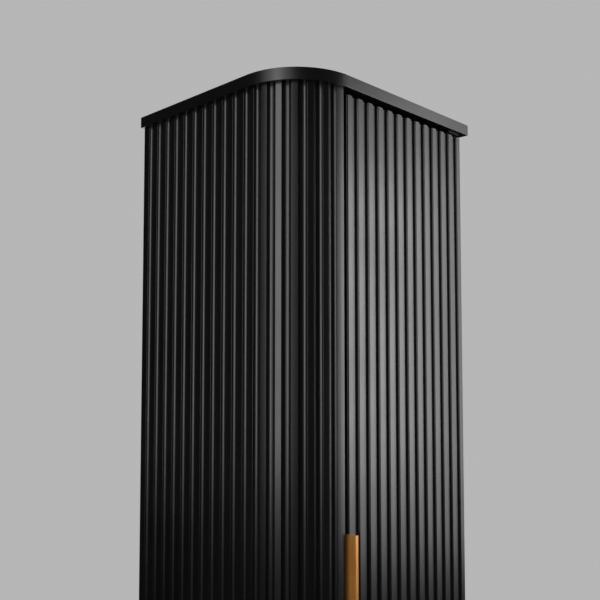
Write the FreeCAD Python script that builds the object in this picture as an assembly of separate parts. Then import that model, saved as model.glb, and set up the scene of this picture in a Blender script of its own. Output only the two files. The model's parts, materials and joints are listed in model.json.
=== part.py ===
import FreeCAD, Part
import math
import os

os.makedirs("parts", exist_ok=True)
Vector = FreeCAD.Vector

# Fluted wardrobe with one door and a rounded front left corner. Millimetres.
# While the pieces are made, X runs right from the fluted left face, Y runs back
# from the fluted front face and Z runs up from the floor. save() then moves every
# piece so that the origin is the middle of the footprint, on the floor.

# ---- Flutes: flat ridges between coved grooves. A groove's two coves meet the
# ridges steeply, at GROOVE_STEEP_DEG to the face, with a small rounded edge.
PITCH = 36.0
GROOVE = 20.0
GROOVE_COVE = 9.0
GROOVE_STEEP_DEG = 75.0
EDGE_RADIUS = 1.0
SIDE_FIRST = 2.5
CORNER_FIRST_DEG = 8.2
CORNER_PITCH_DEG = 13.7
CORNER_GROOVES = 6

# ---- Carcass
WIDTH = 604.0
DEPTH = 548.0
HEIGHT = 2100.0
CORNER_RADIUS = 144.0
FLUTED_BOARD = 26.0
BOARD = 18.0
SLAB = 27.0
SLAB_EDGE = 1.0
OVERHANG = 11.0
OVERHANG_RIGHT = 21.0
PLINTH_HEIGHT = 60.0
PLINTH_SETBACK = 50.0
GLIDE_HEIGHT = 3.0
GLIDE_RADIUS = 8.0

# ---- Door
DOOR_GAP_LEFT = 9.0
DOOR_EDGE_RADIUS = 3.5
DOOR_FIRST_RIDGE = 18.0
DOOR_GAP_TOP = 10.0
DOOR_GAP_BOTTOM = 6.0
DOOR_GAP_BEHIND = 4.0
PIVOT_FROM_EDGE = 9.0
PIVOT_PIN_RADIUS = 3.5
PIVOT_CLEARANCE = 0.05
BUSH_RADIUS = 6.0
BUSH_LENGTH = 20.0
PIVOT_PLATE = (46.0, 20.0, 3.0)

# ---- Handle: a flat bar standing on edge in a notch of the door's first ridge
HANDLE_WIDTH = 9.0
HANDLE_PROUD = 19.0
HANDLE_LET_IN = 12.0
HANDLE_LENGTH = 400.0
HANDLE_TOP_BELOW_TOP = 982.0
HANDLE_EDGE = 0.8
HANDLE_SCREW_RADIUS = 2.0
HANDLE_SCREW_INSET = 50.0

# ---- Inside
STILE = (60.0, 18.0)
STILE_LAP = 28.0
BACK_PANEL = 8.0
BACK_INSET = 12.0
BACK_GROOVE = 8.0
SHELF_BELOW_TOP = 300.0
FIXING_RAIL_HEIGHT = 100.0
WALL_HOLE_RADIUS = 3.0
WALL_HOLE_SPACING = 400.0
RAIL_RADIUS = 12.5
RAIL_WALL = 1.5
RAIL_BELOW_SHELF = 80.0
SOCKET_FLANGE = (24.0, 3.0)
SOCKET_RING = (16.0, 14.0)
DOWEL_RADIUS = 4.0
DOWEL_IN_SLAB = 14.0
DOWEL_IN_BOARD = 22.0
DOWEL_IN_FACE = 11.0
LEFT_DOWEL_Y = (190.0, 350.0, 510.0)
RIGHT_DOWEL_Y = (90.0, 290.0, 490.0)
CORNER_DOWEL_DEG = (25.0, 62.0)
SEAM_DOWEL_Z = (300.0, 800.0, 1300.0, 1800.0)
SEAM_DOWEL_HALF = 20.0
SHELF_DOWEL_Y = (200.0, 450.0)
FIXING_DOWEL_INSET = 30.0

# ---- Screws: where they go and how long they are
SCREW_HEAD_RADIUS = 4.0
SCREW_RADIUS = 2.0
STILE_SCREWS = 5
STILE_SCREW_FIRST = 150.0
STILE_SCREW_PITCH = 420.0
STILE_SCREW_LENGTH = 30.0
HANDLE_SCREW_LENGTH = 32.0
PLATE_SCREW_X = (6.0, 22.0)
SOCKET_SCREW_OFFSET = 19.5
SHORT_SCREW_LENGTH = 15.0
BACK_SCREW_INSET = 60.0
BACK_SCREW_X = (150.0, 300.0, 450.0)
BACK_SCREW_LENGTH = 20.0

# ---- Small fittings
CATCH_RADIUS = 5.0
CATCH_LENGTH = 13.0
CATCH_FROM_DOOR_EDGE = 10.0
STRIKE_PLATE = (8.0, 1.5)
BUMPER_RADIUS = 4.5
BUMPER_FROM_DOOR_END = 60.0
GLIDE_FROM_CORNER = 20.0
BUSH_FLOOR = 2.0
PLATE_INSET = 1.0

# ---- Clearances, and how far a cutter reaches past the face that it cuts
FIT = 0.05
SLIP = 0.2
CLEAR = 0.3
PAST = 1.0

# ---- Places worked out from the sizes above
FLUTE_DEPTH = GROOVE_COVE * (1 - math.cos(math.radians(GROOVE_STEEP_DEG)))
COVE_CENTRE = GROOVE / 2 - GROOVE_COVE * math.sin(math.radians(GROOVE_STEEP_DEG))
COVE_TO_EDGE = EDGE_RADIUS + GROOVE_COVE - FLUTE_DEPTH
EDGE_CENTRE = COVE_CENTRE + math.sqrt((GROOVE_COVE + EDGE_RADIUS) ** 2 - COVE_TO_EDGE ** 2)
SLAB_BOTTOM = HEIGHT - SLAB
BASE_TOP = PLINTH_HEIGHT + SLAB
DOOR_LEFT = CORNER_RADIUS + DOOR_GAP_LEFT
DOOR_BOTTOM = BASE_TOP + DOOR_GAP_BOTTOM
DOOR_TOP = SLAB_BOTTOM - DOOR_GAP_TOP
FRONT_FRAME = FLUTED_BOARD + DOOR_GAP_BEHIND
STILE_LEFT = CORNER_RADIUS - STILE_LAP
STILE_RIGHT = STILE_LEFT + STILE[0]
STILE_BACK = FRONT_FRAME + STILE[1]
INNER_LEFT = FLUTED_BOARD
INNER_RIGHT = WIDTH - BOARD
PIVOT_X = WIDTH - PIVOT_FROM_EDGE
PIVOT_Y = FLUTED_BOARD / 2
BACK_Y = DEPTH - BACK_INSET - BACK_PANEL
FIXING_RAIL_Y = BACK_Y - BOARD
FIXING_RAIL_Z = SLAB_BOTTOM - FIXING_RAIL_HEIGHT
SHELF_TOP = HEIGHT - SHELF_BELOW_TOP
SHELF_BOTTOM = SHELF_TOP - BOARD
RAIL_Y = DEPTH / 2
RAIL_Z = SHELF_BOTTOM - RAIL_BELOW_SHELF
HANDLE_TOP = HEIGHT - HANDLE_TOP_BELOW_TOP
HANDLE_BOTTOM = HANDLE_TOP - HANDLE_LENGTH
FLUTED_CORE = (FLUTED_BOARD + FLUTE_DEPTH) / 2
FOOTPRINT_X = (WIDTH + OVERHANG_RIGHT - OVERHANG) / 2
FOOTPRINT_Y = (DEPTH - HANDLE_PROUD) / 2
CORNER_CENTRE = Vector(CORNER_RADIUS, CORNER_RADIUS, 0)
UP = Vector(0, 0, 1)
RIGHT = Vector(1, 0, 0)
BACK = Vector(0, 1, 0)


# ------------------------------------------------------------------ helpers
def box(low, high):
    size = [high[i] - low[i] for i in range(3)]
    return Part.makeBox(size[0], size[1], size[2], Vector(*low))


def rod(radius, start, direction, length):
    return Part.makeCylinder(radius, length, Vector(*start), direction)


def prism(points, bottom, top):
    """Extrude a closed outline. An item is a point, or (middle, end) of an arc."""
    edges = []
    here = points[0]
    for item in points[1:] + [points[0]]:
        if isinstance(item[0], tuple):
            middle, end = item
            arc = Part.Arc(Vector(*here, bottom), Vector(*middle, bottom), Vector(*end, bottom))
            edges.append(arc.toShape())
            here = end
        else:
            edges.append(Part.LineSegment(Vector(*here, bottom), Vector(*item, bottom)).toShape())
            here = item
    return Part.Face(Part.Wire(edges)).extrude(Vector(0, 0, top - bottom))


def on_corner(radius, degrees):
    """A point on the rounded corner: 0 degrees faces left and 90 faces the front."""
    angle = math.radians(degrees)
    x = CORNER_RADIUS - radius * math.cos(angle)
    y = CORNER_RADIUS - radius * math.sin(angle)
    return (x, y)


def on_circle(centre, radius, degrees):
    """A point on a circle: 0 degrees is along the face and 90 is into the board."""
    angle = math.radians(degrees)
    return (centre[0] + radius * math.cos(angle), centre[1] + radius * math.sin(angle))


def groove_side():
    """Right half of a groove's outline, from its floor out to the flat of the ridge."""
    cove = (COVE_CENTRE, FLUTE_DEPTH - GROOVE_COVE)
    edge = (EDGE_CENTRE, EDGE_RADIUS)
    meet = math.degrees(math.atan2(edge[1] - cove[1], edge[0] - cove[0]))
    return [
        (COVE_CENTRE, FLUTE_DEPTH),
        (on_circle(cove, GROOVE_COVE, (90 + meet) / 2), on_circle(cove, GROOVE_COVE, meet)),
        (on_circle(edge, EDGE_RADIUS, meet / 2 - 135), (EDGE_CENTRE, 0.0)),
        (EDGE_CENTRE, -EDGE_RADIUS),
    ]


def mirrored(point):
    return (-point[0], point[1])


def groove_cutter(x, y, degrees, bottom, top):
    """A groove with its two rounded edges. It cuts into a face that looks along degrees."""
    floor, cove, edge, outside = groove_side()
    left = [
        mirrored(outside),
        mirrored(edge[1]),
        (mirrored(edge[0]), mirrored(cove[1])),
        (mirrored(cove[0]), mirrored(floor)),
    ]
    cutter = prism(left + [floor, cove, edge, outside], bottom - PAST, top + PAST)
    cutter.rotate(Vector(0, 0, 0), UP, degrees - 90)
    cutter.translate(Vector(x, y, 0))
    return cutter


def side_grooves():
    """Whole grooves of the left face, from the rounded corner to the rear edge."""
    y = CORNER_RADIUS + SIDE_FIRST + GROOVE / 2
    places = []
    while y + GROOVE / 2 < DEPTH:
        places.append(y)
        y += PITCH
    places.append(DEPTH + GROOVE / 2)
    return [groove_cutter(0, y, 0, BASE_TOP, SLAB_BOTTOM) for y in places]


def corner_groove(index):
    """One of the grooves round the corner, cut square to the corner's radius."""
    degrees = CORNER_FIRST_DEG + CORNER_PITCH_DEG * index
    to_chord = math.sqrt(CORNER_RADIUS ** 2 - EDGE_CENTRE ** 2)
    x, y = on_corner(to_chord, degrees)
    return groove_cutter(x, y, degrees, BASE_TOP, SLAB_BOTTOM)


def door_grooves():
    """Whole grooves of the door, from the first ridge to the pivot edge."""
    x = DOOR_LEFT + DOOR_FIRST_RIDGE + GROOVE / 2
    places = []
    while x + GROOVE / 2 < WIDTH:
        places.append(x)
        x += PITCH
    return [groove_cutter(x, 0, 90, DOOR_BOTTOM, DOOR_TOP) for x in places]


def front_edge_rounding(x, inward):
    """What rounding takes off an upright front edge at x. The board lies towards inward."""
    radius = DOOR_EDGE_RADIUS
    ends = sorted((x - inward * PAST, x + inward * radius))
    block = box((ends[0], -PAST, PLINTH_HEIGHT), (ends[1], radius, HEIGHT))
    centre = (x + inward * radius, radius, PLINTH_HEIGHT)
    return block.cut(rod(radius, centre, UP, HEIGHT - PLINTH_HEIGHT))


def slab_outline(margin):
    """Outline of the top and the base: square everywhere but at the front left."""
    left = -OVERHANG + margin
    front = -OVERHANG + margin
    right = WIDTH + OVERHANG_RIGHT - margin
    back = DEPTH - margin
    radius = CORNER_RADIUS + OVERHANG - margin
    return [
        (left, back),
        (left, CORNER_RADIUS),
        (on_corner(radius, 45), on_corner(radius, 90)),
        (right, front),
        (right, back),
    ]


def countersunk_screw(x, y, z, direction, length):
    """A screw whose flat head is flush with the face at its start."""
    head_depth = SCREW_HEAD_RADIUS - SCREW_RADIUS
    start = Vector(x, y, z)
    head = Part.makeCone(SCREW_HEAD_RADIUS, SCREW_RADIUS, head_depth, start, direction)
    return head.fuse(rod(SCREW_RADIUS, start, direction, length)).removeSplitter()


def screw_seat(x, y, z, direction, length):
    """The hole that a countersunk screw sits in, a little larger all round."""
    head_depth = SCREW_HEAD_RADIUS - SCREW_RADIUS
    start = Vector(x, y, z)
    head = Part.makeCone(SCREW_HEAD_RADIUS + FIT, SCREW_RADIUS + FIT, head_depth, start, direction)
    return head.fuse(rod(SCREW_RADIUS + FIT, start, direction, length + FIT))


def cut_all(shape, cutters):
    return shape.cut(cutters) if cutters else shape


def save(name, solids):
    """Write one node. It may hold several separate solids."""
    shape = Part.makeCompound(solids) if len(solids) > 1 else solids[0]
    shape = shape.copy()
    shape.translate(Vector(-FOOTPRINT_X, -FOOTPRINT_Y, 0))
    shape.exportStep("parts/" + name + ".step")


# ------------------------------------------------------------------ dowels
def upright_dowel_spots():
    """Where dowels join the walls to the top and to the base."""
    spots = [(FLUTED_CORE, y) for y in LEFT_DOWEL_Y]
    spots += [(WIDTH - BOARD / 2, y) for y in RIGHT_DOWEL_Y]
    spots += [on_corner(CORNER_RADIUS - FLUTED_CORE, degrees) for degrees in CORNER_DOWEL_DEG]
    spots.append(((STILE_LEFT + STILE_RIGHT) / 2, (FRONT_FRAME + STILE_BACK) / 2))
    return spots


def upright_dowels(extra):
    """Dowels, larger by extra all round: the same rods made larger cut their holes."""
    length = DOWEL_IN_SLAB + DOWEL_IN_BOARD
    rods = []
    for x, y in upright_dowel_spots():
        for low in (SLAB_BOTTOM - DOWEL_IN_BOARD, BASE_TOP - DOWEL_IN_SLAB):
            rods.append(rod(DOWEL_RADIUS + extra, (x, y, low - extra), UP, length + 2 * extra))
    return rods


def seam_dowels(extra):
    """Dowels across the seam between the left panel and the corner."""
    half = SEAM_DOWEL_HALF + extra
    rods = []
    for z in SEAM_DOWEL_Z:
        start = (FLUTED_CORE, CORNER_RADIUS - half, z)
        rods.append(rod(DOWEL_RADIUS + extra, start, BACK, 2 * half))
    return rods


def cross_dowels(extra):
    """Dowels that carry the shelf and the fixing rail between the two sides."""
    spots = [(y, SHELF_BOTTOM + BOARD / 2) for y in SHELF_DOWEL_Y]
    spots.append((FIXING_RAIL_Y + BOARD / 2, FIXING_RAIL_Z + FIXING_DOWEL_INSET))
    spots.append((FIXING_RAIL_Y + BOARD / 2, SLAB_BOTTOM - FIXING_DOWEL_INSET))
    length = DOWEL_IN_FACE + DOWEL_IN_BOARD
    rods = []
    for y, z in spots:
        for x in (INNER_LEFT - DOWEL_IN_FACE, INNER_RIGHT - DOWEL_IN_BOARD):
            start = (x - extra, y, z)
            rods.append(rod(DOWEL_RADIUS + extra, start, RIGHT, length + 2 * extra))
    return rods


# ------------------------------------------------------------------ screws
def stile_screws():
    first = BASE_TOP + STILE_SCREW_FIRST
    heights = [first + STILE_SCREW_PITCH * i for i in range(STILE_SCREWS)]
    x = (STILE_LEFT + CORNER_RADIUS) / 2
    return [(x, STILE_BACK, z, -BACK, STILE_SCREW_LENGTH) for z in heights]


def handle_screws():
    x = DOOR_LEFT + HANDLE_WIDTH / 2
    heights = (HANDLE_BOTTOM + HANDLE_SCREW_INSET, HANDLE_TOP - HANDLE_SCREW_INSET)
    return [(x, FLUTED_BOARD, z, -BACK, HANDLE_SCREW_LENGTH) for z in heights]


def pivot_screws(z, direction):
    left = PIVOT_X - PIVOT_PLATE[0] + PIVOT_FROM_EDGE
    return [(left + x, PIVOT_Y, z, direction, SHORT_SCREW_LENGTH) for x in PLATE_SCREW_X]


def socket_screws():
    flange = SOCKET_FLANGE[1]
    heights = (RAIL_Z - SOCKET_SCREW_OFFSET, RAIL_Z + SOCKET_SCREW_OFFSET)
    screws = []
    for x, direction in ((INNER_LEFT + flange, -RIGHT), (INNER_RIGHT - flange, RIGHT)):
        screws += [(x, RAIL_Y, z, direction, SHORT_SCREW_LENGTH) for z in heights]
    return screws


def back_screws():
    rail_z = FIXING_RAIL_Z + FIXING_RAIL_HEIGHT / 2
    places = [(INNER_LEFT + BACK_SCREW_INSET, rail_z), (INNER_RIGHT - BACK_SCREW_INSET, rail_z)]
    places += [(x, SHELF_BOTTOM + BOARD / 2) for x in BACK_SCREW_X]
    return [(x, BACK_Y + BACK_PANEL, z, -BACK, BACK_SCREW_LENGTH) for x, z in places]


# ------------------------------------------------------------------ carcass
def slab(bottom, top):
    shape = prism(slab_outline(0), bottom, top)
    rims = [edge for edge in shape.Edges if abs(edge.BoundBox.ZLength) < FIT]
    return shape.makeFillet(SLAB_EDGE, rims)


def back_panel_slot():
    low = (INNER_LEFT - BACK_GROOVE, BACK_Y - SLIP, BASE_TOP - BACK_GROOVE)
    high = (INNER_RIGHT + BACK_GROOVE, BACK_Y + BACK_PANEL + SLIP, SLAB_BOTTOM + BACK_GROOVE)
    return box(low, high)


def top_panel():
    cutters = upright_dowels(FIT) + [back_panel_slot()]
    cutters += [screw_seat(*screw) for screw in pivot_screws(SLAB_BOTTOM - PIVOT_PLATE[2], UP)]
    return cut_all(slab(SLAB_BOTTOM, HEIGHT), cutters)


def base_panel():
    cutters = upright_dowels(FIT) + [back_panel_slot()]
    cutters += [screw_seat(*screw) for screw in pivot_screws(BASE_TOP + PIVOT_PLATE[2], -UP)]
    return cut_all(slab(PLINTH_HEIGHT, BASE_TOP), cutters)


def left_side_panel():
    board = box((0, CORNER_RADIUS, BASE_TOP), (FLUTED_BOARD, DEPTH, SLAB_BOTTOM))
    cutters = side_grooves() + [back_panel_slot()]
    cutters += upright_dowels(FIT) + seam_dowels(FIT) + cross_dowels(FIT)
    cutters += [screw_seat(*screw) for screw in socket_screws()]
    return cut_all(board, cutters)


def corner_panel():
    """A curved board with a flat pad behind its front end, where the stile is fixed."""
    inner = CORNER_RADIUS - FLUTED_BOARD
    shell = prism(
        [
            on_corner(CORNER_RADIUS, 0),
            (on_corner(CORNER_RADIUS, 45), on_corner(CORNER_RADIUS, 90)),
            on_corner(inner, 90),
            (on_corner(inner, 45), on_corner(inner, 0)),
        ],
        BASE_TOP,
        SLAB_BOTTOM,
    )
    pad_front = FLUTED_BOARD - FLUTE_DEPTH
    pad = box((STILE_LEFT, pad_front, BASE_TOP), (CORNER_RADIUS, FRONT_FRAME, SLAB_BOTTOM))
    shape = shell.fuse(pad).removeSplitter()
    cutters = [corner_groove(index) for index in range(CORNER_GROOVES)]
    cutters.append(front_edge_rounding(CORNER_RADIUS, -1))
    cutters += upright_dowels(FIT) + seam_dowels(FIT)
    cutters += [screw_seat(*screw) for screw in stile_screws()]
    return cut_all(shape, cutters)


def right_side_panel():
    board = box((INNER_RIGHT, FRONT_FRAME, BASE_TOP), (WIDTH, DEPTH, SLAB_BOTTOM))
    cutters = [back_panel_slot()] + upright_dowels(FIT) + cross_dowels(FIT)
    cutters += [screw_seat(*screw) for screw in socket_screws()]
    return cut_all(board, cutters)


def closing_stile():
    low = (STILE_LEFT, FRONT_FRAME, BASE_TOP)
    board = box(low, (STILE_RIGHT, STILE_BACK, SLAB_BOTTOM))
    cutters = upright_dowels(FIT) + [screw_seat(*screw) for screw in stile_screws()]
    cutters.append(magnet_catch_body(FIT))
    return cut_all(board, cutters)


def wall_holes():
    middle = (INNER_LEFT + INNER_RIGHT) / 2
    z = FIXING_RAIL_Z + FIXING_RAIL_HEIGHT / 2
    length = BACK_Y + BACK_PANEL - FIXING_RAIL_Y + 2 * PAST
    start_y = FIXING_RAIL_Y - PAST
    places = (middle - WALL_HOLE_SPACING / 2, middle + WALL_HOLE_SPACING / 2)
    return [rod(WALL_HOLE_RADIUS, (x, start_y, z), BACK, length) for x in places]


def back_panel():
    reach = BACK_GROOVE - SLIP
    low = (INNER_LEFT - reach, BACK_Y, BASE_TOP - reach)
    high = (INNER_RIGHT + reach, BACK_Y + BACK_PANEL, SLAB_BOTTOM + reach)
    cutters = wall_holes() + [screw_seat(*screw) for screw in back_screws()]
    return cut_all(box(low, high), cutters)


def fixing_rail():
    low = (INNER_LEFT, FIXING_RAIL_Y, FIXING_RAIL_Z)
    board = box(low, (INNER_RIGHT, BACK_Y, SLAB_BOTTOM))
    cutters = wall_holes() + cross_dowels(FIT)
    cutters += [screw_seat(*screw) for screw in back_screws()]
    return cut_all(board, cutters)


def hat_shelf():
    """The shelf fills the inside, with its front left corner rounded to suit the wall."""
    front = STILE_BACK + CLEAR
    board = box((INNER_LEFT, front, SHELF_BOTTOM), (INNER_RIGHT, BACK_Y, SHELF_TOP))
    corner = box((0, 0, SHELF_BOTTOM), (CORNER_RADIUS, CORNER_RADIUS, SHELF_TOP))
    inner = CORNER_RADIUS - FLUTED_BOARD - CLEAR
    base = CORNER_CENTRE + Vector(0, 0, SHELF_BOTTOM)
    corner = corner.cut(Part.makeCylinder(inner, BOARD, base))
    cutters = [corner] + cross_dowels(FIT)
    cutters += [screw_seat(*screw) for screw in back_screws()]
    return cut_all(board, cutters)


# ------------------------------------------------------------------ plinth
def plinth_frame():
    """Boards set back under the base, with a curved one below the rounded corner."""
    left = PLINTH_SETBACK - OVERHANG
    inner = left + BOARD
    right = WIDTH - left
    back = DEPTH - left
    outer_radius = CORNER_RADIUS - left
    low, high = GLIDE_HEIGHT, PLINTH_HEIGHT
    corner = prism(
        [
            on_corner(outer_radius, 0),
            (on_corner(outer_radius, 45), on_corner(outer_radius, 90)),
            on_corner(outer_radius - BOARD, 90),
            (on_corner(outer_radius - BOARD, 45), on_corner(outer_radius - BOARD, 0)),
        ],
        low,
        high,
    )
    return {
        "plinth_left": box((left, CORNER_RADIUS, low), (inner, back, high)),
        "plinth_corner": corner,
        "plinth_front": box((CORNER_RADIUS, left, low), (right, inner, high)),
        "plinth_right": box((right - BOARD, inner, low), (right, back, high)),
        "plinth_back": box((inner, back - BOARD, low), (right - BOARD, back, high)),
    }


def floor_glides():
    middle = PLINTH_SETBACK - OVERHANG + BOARD / 2
    right = WIDTH - middle
    back = DEPTH - middle
    beside_corner = CORNER_RADIUS + GLIDE_FROM_CORNER
    rear = back - GLIDE_FROM_CORNER
    places = [(middle, beside_corner), (beside_corner, middle)]
    places += [(middle, rear), (right, middle), (right, rear)]
    return [rod(GLIDE_RADIUS, (x, y, 0), UP, GLIDE_HEIGHT) for x, y in places]


# ------------------------------------------------------------------ hanging rail
def hanging_rail():
    start = INNER_LEFT + SOCKET_FLANGE[1] + CLEAR
    length = INNER_RIGHT - INNER_LEFT - 2 * (SOCKET_FLANGE[1] + CLEAR)
    tube = rod(RAIL_RADIUS, (start, RAIL_Y, RAIL_Z), RIGHT, length)
    return tube.cut(rod(RAIL_RADIUS - RAIL_WALL, (start, RAIL_Y, RAIL_Z), RIGHT, length))


def rail_socket(x, direction):
    """A flange on the wall with a ring that the rail's end drops into."""
    flange_radius, flange = SOCKET_FLANGE
    ring_radius, ring = SOCKET_RING
    shape = rod(flange_radius, (x, RAIL_Y, RAIL_Z), direction, flange)
    shape = shape.fuse(rod(ring_radius, (x, RAIL_Y, RAIL_Z), direction, ring))
    seat_x = x + direction.x * flange
    seat = rod(RAIL_RADIUS + SLIP, (seat_x, RAIL_Y, RAIL_Z), direction, ring)
    cutters = [seat] + [screw_seat(*screw) for screw in socket_screws()]
    return cut_all(shape, cutters)


# ------------------------------------------------------------------ catch and bumpers
def magnet_catch_body(extra):
    """A barrel pressed into the stile, with its magnet face flush behind the door."""
    start = (DOOR_LEFT + CATCH_FROM_DOOR_EDGE, FRONT_FRAME, HEIGHT / 2)
    return rod(CATCH_RADIUS + extra, start, BACK, CATCH_LENGTH + extra)


def strike_plate():
    radius, thickness = STRIKE_PLATE
    start = (DOOR_LEFT + CATCH_FROM_DOOR_EDGE, FLUTED_BOARD, HEIGHT / 2)
    return rod(radius, start, BACK, thickness)


def door_bumpers():
    thickness = DOOR_GAP_BEHIND - CLEAR
    x = DOOR_LEFT + CATCH_FROM_DOOR_EDGE
    y = FRONT_FRAME - thickness
    heights = (DOOR_BOTTOM + BUMPER_FROM_DOOR_END, DOOR_TOP - BUMPER_FROM_DOOR_END)
    return [rod(BUMPER_RADIUS, (x, y, z), BACK, thickness) for z in heights]


# ------------------------------------------------------------------ door and pivots
def pivot_plate(bottom):
    right = PIVOT_X + PIVOT_FROM_EDGE - PLATE_INSET
    left = right - PIVOT_PLATE[0]
    front = PIVOT_Y - PIVOT_PLATE[1] / 2
    high = (right, front + PIVOT_PLATE[1], bottom + PIVOT_PLATE[2])
    plate = box((left, front, bottom), high)
    if bottom < HEIGHT / 2:
        screws = pivot_screws(bottom + PIVOT_PLATE[2], -UP)
    else:
        screws = pivot_screws(bottom, UP)
    pin_hole = rod(PIVOT_PIN_RADIUS, (PIVOT_X, PIVOT_Y, bottom), UP, PIVOT_PLATE[2])
    return cut_all(plate, [pin_hole] + [screw_seat(*screw) for screw in screws])


def pivot_pin(bottom, top):
    return rod(PIVOT_PIN_RADIUS, (PIVOT_X, PIVOT_Y, bottom), UP, top - bottom)


def pivot_bush(bottom, bore_bottom, bore_top):
    """A bush with a blind bore that runs on the pin."""
    bush = rod(BUSH_RADIUS, (PIVOT_X, PIVOT_Y, bottom), UP, BUSH_LENGTH)
    bore_radius = PIVOT_PIN_RADIUS + PIVOT_CLEARANCE
    return bush.cut(rod(bore_radius, (PIVOT_X, PIVOT_Y, bore_bottom), UP, bore_top - bore_bottom))


def door_panel():
    board = box((DOOR_LEFT, 0, DOOR_BOTTOM), (WIDTH, FLUTED_BOARD, DOOR_TOP))
    cutters = door_grooves()
    cutters += [front_edge_rounding(DOOR_LEFT, 1), front_edge_rounding(WIDTH, -1)]
    notch_low = (DOOR_LEFT - PAST, -PAST, HANDLE_BOTTOM - SLIP)
    notch_high = (DOOR_LEFT + HANDLE_WIDTH + SLIP, HANDLE_LET_IN, HANDLE_TOP + SLIP)
    cutters.append(box(notch_low, notch_high))
    cutters += [screw_seat(*screw) for screw in handle_screws()]
    for bottom in (DOOR_BOTTOM, DOOR_TOP - BUSH_LENGTH):
        cutters.append(rod(BUSH_RADIUS + FIT, (PIVOT_X, PIVOT_Y, bottom), UP, BUSH_LENGTH))
    return cut_all(board, cutters)


def handle():
    low = (DOOR_LEFT, -HANDLE_PROUD, HANDLE_BOTTOM)
    bar = box(low, (DOOR_LEFT + HANDLE_WIDTH, HANDLE_LET_IN, HANDLE_TOP))
    bar = bar.makeFillet(HANDLE_EDGE, bar.Edges)
    return cut_all(bar, [screw_seat(*screw) for screw in handle_screws()])


# ------------------------------------------------------------------ write the nodes
def main():
    plate_top_z = SLAB_BOTTOM - PIVOT_PLATE[2]
    pin_reach = BUSH_LENGTH - BUSH_FLOOR

    save("top_panel", [top_panel()])
    save("base_panel", [base_panel()])
    save("left_side_panel", [left_side_panel()])
    save("corner_panel", [corner_panel()])
    save("right_side_panel", [right_side_panel()])
    save("closing_stile", [closing_stile()])
    save("back_panel", [back_panel()])
    save("fixing_rail", [fixing_rail()])
    save("hat_shelf", [hat_shelf()])
    for name, board in plinth_frame().items():
        save(name, [board])
    save("floor_glides", floor_glides())
    save("panel_dowels", upright_dowels(0) + seam_dowels(0))
    save("shelf_dowels", cross_dowels(0))
    save("stile_screws", [countersunk_screw(*screw) for screw in stile_screws()])
    save("back_panel_screws", [countersunk_screw(*screw) for screw in back_screws()])
    save("hanging_rail", [hanging_rail()])
    save("rail_socket_left", [rail_socket(INNER_LEFT, RIGHT)])
    save("rail_socket_right", [rail_socket(INNER_RIGHT, -RIGHT)])
    save("rail_socket_screws", [countersunk_screw(*screw) for screw in socket_screws()])
    save("magnet_catch", [magnet_catch_body(0)])
    save("door_bumpers", door_bumpers())
    save("top_pivot_plate", [pivot_plate(plate_top_z)])
    save("bottom_pivot_plate", [pivot_plate(BASE_TOP)])
    save("top_pivot_pin", [pivot_pin(DOOR_TOP - pin_reach, SLAB_BOTTOM)])
    save("bottom_pivot_pin", [pivot_pin(BASE_TOP, DOOR_BOTTOM + pin_reach)])
    screws = pivot_screws(plate_top_z, UP) + pivot_screws(BASE_TOP + PIVOT_PLATE[2], -UP)
    save("pivot_plate_screws", [countersunk_screw(*screw) for screw in screws])

    save("door_panel", [door_panel()])
    bore = pin_reach + CLEAR
    top_bush = DOOR_TOP - BUSH_LENGTH
    save("top_pivot_bush", [pivot_bush(top_bush, DOOR_TOP - bore, DOOR_TOP)])
    save("bottom_pivot_bush", [pivot_bush(DOOR_BOTTOM, DOOR_BOTTOM, DOOR_BOTTOM + bore)])
    save("handle", [handle()])
    save("handle_screws", [countersunk_screw(*screw) for screw in handle_screws()])
    save("strike_plate", [strike_plate()])


main()
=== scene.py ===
import json
import math

import bpy
from mathutils import Matrix, Vector


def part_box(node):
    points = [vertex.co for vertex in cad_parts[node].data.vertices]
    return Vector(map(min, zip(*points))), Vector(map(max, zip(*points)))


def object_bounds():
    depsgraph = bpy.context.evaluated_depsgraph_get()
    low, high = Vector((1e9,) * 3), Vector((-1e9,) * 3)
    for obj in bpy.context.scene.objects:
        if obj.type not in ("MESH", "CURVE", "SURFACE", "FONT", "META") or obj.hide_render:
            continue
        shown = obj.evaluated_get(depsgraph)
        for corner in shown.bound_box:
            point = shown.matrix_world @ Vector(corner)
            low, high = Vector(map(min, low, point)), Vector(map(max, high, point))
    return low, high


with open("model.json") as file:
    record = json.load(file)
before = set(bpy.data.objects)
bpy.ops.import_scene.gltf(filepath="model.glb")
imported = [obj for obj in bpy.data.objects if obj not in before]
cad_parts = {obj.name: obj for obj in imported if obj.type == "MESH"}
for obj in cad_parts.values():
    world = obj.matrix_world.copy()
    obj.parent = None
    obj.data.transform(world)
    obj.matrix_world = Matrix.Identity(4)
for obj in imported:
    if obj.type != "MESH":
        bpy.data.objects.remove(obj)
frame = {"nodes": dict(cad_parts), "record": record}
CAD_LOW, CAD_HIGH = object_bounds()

# ------------------------------------------------------------------ camera
# Metres and radians. The camera stands in front of the rounded corner and looks at it
# from well below the top. Its place is counted from corner_of_body().
LENS_MM = 44.26
SENSOR_MM = 36.0
SHIFT_UP = 0.03
CAMERA_LEFT_OF_SIDE = 1.0449
CAMERA_BEFORE_DOOR = 1.0289
CAMERA_BELOW_TOP = 0.6172
CAMERA_YAW = 0.7962
CAMERA_PITCH = 0.0581


def corner_of_body():
    """The fluted left face, the fluted front face and the top, as x, y and z."""
    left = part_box("left_side_panel")[0].x
    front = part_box("door_panel")[0].y
    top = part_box("top_panel")[1].z
    return Vector((left, front, top))


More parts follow.
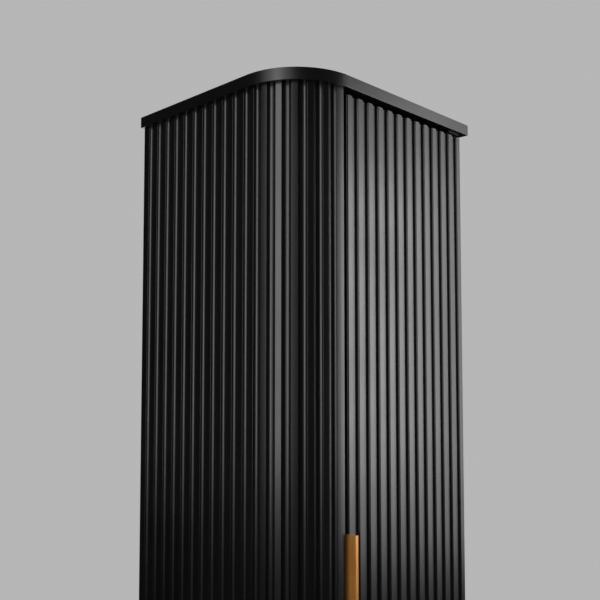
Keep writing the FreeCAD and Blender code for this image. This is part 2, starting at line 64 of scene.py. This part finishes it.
def make_camera():
    """The photo's camera."""
    data = bpy.data.cameras.new("camera")
    data.sensor_width = SENSOR_MM
    data.lens = LENS_MM
    data.shift_y = SHIFT_UP
    camera = bpy.data.objects.new("camera", data)
    bpy.context.scene.collection.objects.link(camera)
    away = Vector((-CAMERA_LEFT_OF_SIDE, -CAMERA_BEFORE_DOOR, -CAMERA_BELOW_TOP))
    camera.location = corner_of_body() + away
    turn = Matrix.Rotation(-CAMERA_YAW, 4, "Z")
    tilt = Matrix.Rotation(math.pi / 2 + CAMERA_PITCH, 4, "X")
    camera.rotation_euler = (turn @ tilt).to_euler()
    bpy.context.scene.camera = camera


# ------------------------------------------------------------------ light
BACKDROP_GREY = (0.47, 0.47, 0.47, 1.0)
ROOM_GREY = (0.006, 0.006, 0.0062, 1.0)
WALL_GREY = (0.84, 0.84, 0.84, 1.0)

# The lights aim at a point this far inside the left and front faces, which is close to
# the axis of the rounded corner.
LIGHT_AIM_INSET = 0.15


def area_light(name, degrees, distance, height, size, watts, aim_height=None):
    """A soft box of (width, height) metres that the camera can't see.

    Degrees count from +X towards +Y, so 180 is to the left and 270 in front. It faces
    level unless it aims at another height.
    """
    corner = corner_of_body()
    if aim_height is None:
        aim_height = height
    target = Vector((corner.x + LIGHT_AIM_INSET, corner.y + LIGHT_AIM_INSET, aim_height))
    angle = math.radians(degrees)
    rise = height - aim_height
    out = Vector((math.cos(angle) * distance, math.sin(angle) * distance, rise))
    data = bpy.data.lights.new(name, "AREA")
    data.shape = "RECTANGLE"
    data.size, data.size_y = size
    data.energy = watts
    light = bpy.data.objects.new(name, data)
    light.location = target + out
    light.rotation_euler = (-out).to_track_quat("-Z", "Y").to_euler()
    light.visible_camera = False
    bpy.context.scene.collection.objects.link(light)


def make_lights():
    """Each pair is a narrow core in front of a wide glow, so that its reflection is soft.

    The left pair shows in the left half of the curve, along the edges of the flutes and in
    the handle's left face. The right pair shows in the door's ridges. The last two are for
    the right side and back, and for the top.
    """
    area_light("left_softbox", degrees=193, distance=2.2, height=2.08, size=(0.55, 2.2), watts=14.0)
    area_light("left_glow", degrees=193, distance=2.3, height=2.05, size=(2.1, 2.5), watts=25.0)
    area_light("right_softbox", degrees=317, distance=2.4, height=1.68, size=(0.75, 1.6), watts=16.0)
    area_light("right_glow", degrees=319, distance=2.5, height=1.74, size=(1.25, 2.6), watts=26.0)
    area_light("rear_softbox", degrees=65, distance=2.6, height=1.6, size=(1.6, 2.6), watts=22.0)
    area_light("ceiling_softbox", degrees=45, distance=1.3, height=4.0, size=(1.6, 1.6), watts=22.0,
               aim_height=2.1)


def make_world():
    """The camera sees a grey backdrop, diffuse rays find pale walls and the rest a dim room."""
    world = bpy.data.worlds.new("room")
    bpy.context.scene.world = world
    world.use_nodes = True
    nodes, links = world.node_tree.nodes, world.node_tree.links
    nodes.clear()
    output = nodes.new("ShaderNodeOutputWorld")
    path = nodes.new("ShaderNodeLightPath")

    def background(grey):
        shader = nodes.new("ShaderNodeBackground")
        shader.inputs["Color"].default_value = grey
        return shader.outputs["Background"]

    def choose(switch, otherwise, chosen):
        mix = nodes.new("ShaderNodeMixShader")
        links.new(path.outputs[switch], mix.inputs["Fac"])
        links.new(otherwise, mix.inputs[1])
        links.new(chosen, mix.inputs[2])
        return mix.outputs["Shader"]

    lit = choose("Is Diffuse Ray", background(ROOM_GREY), background(WALL_GREY))
    seen = choose("Is Camera Ray", lit, background(BACKDROP_GREY))
    links.new(seen, output.inputs["Surface"])


# ------------------------------------------------------------------ material nodes
# Most of a noise texture lies between these values, so a spread starts and ends there.
NOISE_LOW = 0.3
NOISE_HIGH = 0.7

# How a noise is squeezed along x, y and z: less than 1 draws it out along that axis.
EVEN = (1.0, 1.0, 1.0)
BOARD_GRAIN = (6.0, 6.0, 0.25)
BEECH_GRAIN = (8.0, 8.0, 0.6)
LINES_UPRIGHT = (1.0, 1.0, 0.02)
LINES_ACROSS = (0.05, 1.0, 1.0)


class MaterialNodes:
    """Short calls that build one material's node tree."""

    def __init__(self, name):
        self.material = bpy.data.materials.new(name)
        self.material.use_nodes = True
        self.tree = self.material.node_tree
        self.tree.nodes.clear()
        output = self.tree.nodes.new("ShaderNodeOutputMaterial")
        self.shader = self.tree.nodes.new("ShaderNodeBsdfPrincipled")
        self.link(self.shader.outputs["BSDF"], output.inputs["Surface"])
        self.place = self.tree.nodes.new("ShaderNodeTexCoord").outputs["Object"]

    def link(self, source, target):
        self.tree.links.new(source, target)

    def noise(self, scale, detail, stretch=EVEN):
        """Noise in object space."""
        mapping = self.tree.nodes.new("ShaderNodeMapping")
        mapping.inputs["Scale"].default_value = stretch
        self.link(self.place, mapping.inputs["Vector"])
        texture = self.tree.nodes.new("ShaderNodeTexNoise")
        texture.inputs["Scale"].default_value = scale
        texture.inputs["Detail"].default_value = detail
        self.link(mapping.outputs["Vector"], texture.inputs["Vector"])
        return texture.outputs["Fac"]

    def spread(self, source, source_range, result_range):
        """Carry one range of a value over to another range."""
        spread = self.tree.nodes.new("ShaderNodeMapRange")
        spread.inputs["From Min"].default_value = source_range[0]
        spread.inputs["From Max"].default_value = source_range[1]
        spread.inputs["To Min"].default_value = result_range[0]
        spread.inputs["To Max"].default_value = result_range[1]
        self.link(source, spread.inputs["Value"])
        return spread.outputs["Result"]

    def bump(self, source, strength, distance, below=None):
        """A bump of so many metres, on top of the bump below it."""
        bump = self.tree.nodes.new("ShaderNodeBump")
        bump.inputs["Strength"].default_value = strength
        bump.inputs["Distance"].default_value = distance
        self.link(source, bump.inputs["Height"])
        if below is not None:
            self.link(below, bump.inputs["Normal"])
        return bump.outputs["Normal"]

    def colour(self, noise, tones):
        """Blend from the first tone to the second as the noise goes from low to high."""
        mix = self.tree.nodes.new("ShaderNodeMix")
        mix.data_type = "RGBA"
        mix.inputs["A"].default_value = (*tones[0], 1.0)
        mix.inputs["B"].default_value = (*tones[1], 1.0)
        self.link(self.spread(noise, (NOISE_LOW, NOISE_HIGH), (0.0, 1.0)), mix.inputs["Factor"])
        self.link(mix.outputs["Result"], self.shader.inputs["Base Color"])

    def roughness(self, noise, limits):
        """Vary the roughness between its limits with the noise."""
        source = self.spread(noise, (NOISE_LOW, NOISE_HIGH), limits)
        self.link(source, self.shader.inputs["Roughness"])

    def normal(self, source):
        self.link(source, self.shader.inputs["Normal"])

    def metallic(self, amount):
        self.shader.inputs["Metallic"].default_value = amount


# ------------------------------------------------------------------ materials
# Each pair is a darker and a lighter tone of the same material.
BLACK = ((0.0020, 0.0020, 0.0021), (0.0032, 0.0032, 0.0033))
CHARCOAL = ((0.030, 0.030, 0.0305), (0.046, 0.046, 0.0465))
BEECH = ((0.42, 0.26, 0.14), (0.66, 0.48, 0.30))
BRASS = ((0.43, 0.180, 0.038), (0.50, 0.220, 0.052))
DARK_STEEL = ((0.05, 0.05, 0.052), (0.09, 0.09, 0.092))
BLACK_PLATED_STEEL = ((0.020, 0.020, 0.021), (0.034, 0.034, 0.035))
ZINC = ((0.42, 0.43, 0.44), (0.58, 0.58, 0.60))
BLACK_PLASTIC = ((0.012, 0.012, 0.012), (0.02, 0.02, 0.02))
PALE_PLASTIC = ((0.6, 0.59, 0.55), (0.7, 0.69, 0.65))
GREY_RUBBER = ((0.2, 0.2, 0.2), (0.28, 0.28, 0.28))
FLOOR_GREY = ((0.42, 0.42, 0.418), (0.44, 0.44, 0.438))

# The brass is only partly metallic, because a full metal mirrors the soft boxes and blows out.
BRASS_METALLIC = 0.58


def lacquer(name, tones, rough):
    """Satin sprayed lacquer: cloudy gloss, a faint orange peel and specks of dust."""
    nodes = MaterialNodes(name)
    nodes.colour(nodes.noise(scale=5.0, detail=4.0), tones)
    nodes.roughness(nodes.noise(scale=9.0, detail=5.0), rough)
    peel = nodes.bump(nodes.noise(scale=700.0, detail=2.0), strength=0.03, distance=0.0002)
    dust = nodes.noise(scale=2600.0, detail=1.0)
    nodes.normal(nodes.bump(dust, strength=0.05, distance=0.0001, below=peel))
    return nodes.material


def board(name, tones, rough):
    """Matt printed board with a fine upright grain."""
    nodes = MaterialNodes(name)
    grain = nodes.noise(scale=60.0, detail=6.0, stretch=BOARD_GRAIN)
    nodes.colour(grain, tones)
    nodes.roughness(grain, rough)
    nodes.normal(nodes.bump(grain, strength=0.12, distance=0.0004))
    return nodes.material


def beech(name, tones, rough):
    """Bare beech with an open upright grain."""
    nodes = MaterialNodes(name)
    grain = nodes.noise(scale=160.0, detail=6.0, stretch=BEECH_GRAIN)
    nodes.colour(grain, tones)
    nodes.roughness(grain, rough)
    nodes.normal(nodes.bump(grain, strength=0.2, distance=0.0003))
    return nodes.material


def brass(name, tones, rough):
    """Satin brass: fine lines along the bar and a cloudy tone."""
    nodes = MaterialNodes(name)
    lines = nodes.noise(scale=900.0, detail=4.0, stretch=LINES_UPRIGHT)
    nodes.colour(nodes.noise(scale=14.0, detail=4.0), tones)
    nodes.roughness(lines, rough)
    nodes.normal(nodes.bump(lines, strength=0.15, distance=0.0002))
    nodes.metallic(BRASS_METALLIC)
    return nodes.material


def steel(name, tones, rough):
    """Plated steel with fine lines from left to right."""
    nodes = MaterialNodes(name)
    lines = nodes.noise(scale=500.0, detail=3.0, stretch=LINES_ACROSS)
    nodes.colour(nodes.noise(scale=30.0, detail=3.0), tones)
    nodes.roughness(lines, rough)
    nodes.normal(nodes.bump(lines, strength=0.1, distance=0.0002))
    nodes.metallic(1.0)
    return nodes.material


def moulded(name, tones, rough):
    """Moulded plastic or rubber with a fine grit."""
    nodes = MaterialNodes(name)
    grit = nodes.noise(scale=1400.0, detail=2.0)
    nodes.colour(nodes.noise(scale=40.0, detail=3.0), tones)
    nodes.roughness(grit, rough)
    nodes.normal(nodes.bump(grit, strength=0.15, distance=0.0002))
    return nodes.material


def slot_materials():
    """Each material slot's look: the kind of material, its tones and its roughness."""
    looks = {
        "black_lacquer": (lacquer, BLACK, (0.275, 0.325)),
        "inner_board": (board, CHARCOAL, (0.5, 0.6)),
        "back_board": (board, CHARCOAL, (0.6, 0.7)),
        "plinth_board": (board, BLACK, (0.45, 0.55)),
        "beech": (beech, BEECH, (0.5, 0.7)),
        "handle_brass": (brass, BRASS, (0.24, 0.34)),
        "rail_steel": (steel, DARK_STEEL, (0.3, 0.42)),
        "pivot_steel": (steel, BLACK_PLATED_STEEL, (0.38, 0.5)),
        "zinc_steel": (steel, ZINC, (0.3, 0.42)),
        "black_plastic": (moulded, BLACK_PLASTIC, (0.45, 0.55)),
        "bush_plastic": (moulded, PALE_PLASTIC, (0.4, 0.5)),
        "clear_rubber": (moulded, GREY_RUBBER, (0.5, 0.6)),
    }
    return {slot: make(slot, tones, rough) for slot, (make, tones, rough) in looks.items()}


def dress_cad_nodes():
    """Give every CAD node the material of its own slot."""
    materials = slot_materials()
    for entry in frame["record"]["subparts"]:
        node = frame["nodes"][entry["node"]]
        node.data.materials.clear()
        node.data.materials.append(materials[entry["material_slot"]])


# ------------------------------------------------------------------ floor
# Metres. The floor is solid out to FLOOR_SOLID from the wardrobe's middle, and has melted
# away at FLOOR_GONE.
FLOOR_SIZE = 16.0
FLOOR_SOLID = 1.2
FLOOR_GONE = 3.0


def floor_material():
    """A grey studio floor that melts into the backdrop."""
    nodes = MaterialNodes("floor")
    cloud = nodes.noise(scale=3.0, detail=5.0)
    nodes.colour(cloud, FLOOR_GREY)
    nodes.roughness(cloud, (0.7, 0.85))
    nodes.normal(nodes.bump(nodes.noise(scale=90.0, detail=4.0), strength=0.05, distance=0.001))
    reach = nodes.tree.nodes.new("ShaderNodeVectorMath")
    reach.operation = "LENGTH"
    nodes.link(nodes.place, reach.inputs[0])
    fade = nodes.spread(reach.outputs["Value"], (FLOOR_SOLID, FLOOR_GONE), (1.0, 0.0))
    nodes.link(fade, nodes.shader.inputs["Alpha"])
    return nodes.material


def make_floor():
    """A flat stage floor under the wardrobe. The lacquer doesn't mirror it."""
    half = FLOOR_SIZE / 2
    level = CAD_LOW.z
    corners = [(-half, -half, level), (half, -half, level), (half, half, level), (-half, half, level)]
    mesh = bpy.data.meshes.new("floor")
    mesh.from_pydata(corners, [], [(0, 1, 2, 3)])
    mesh.materials.append(floor_material())
    floor = bpy.data.objects.new("floor", mesh)
    floor.visible_glossy = False
    bpy.context.scene.collection.objects.link(floor)


make_camera()
make_world()
make_lights()
make_floor()
dress_cad_nodes()
bpy.context.scene.view_settings.view_transform = "Standard"
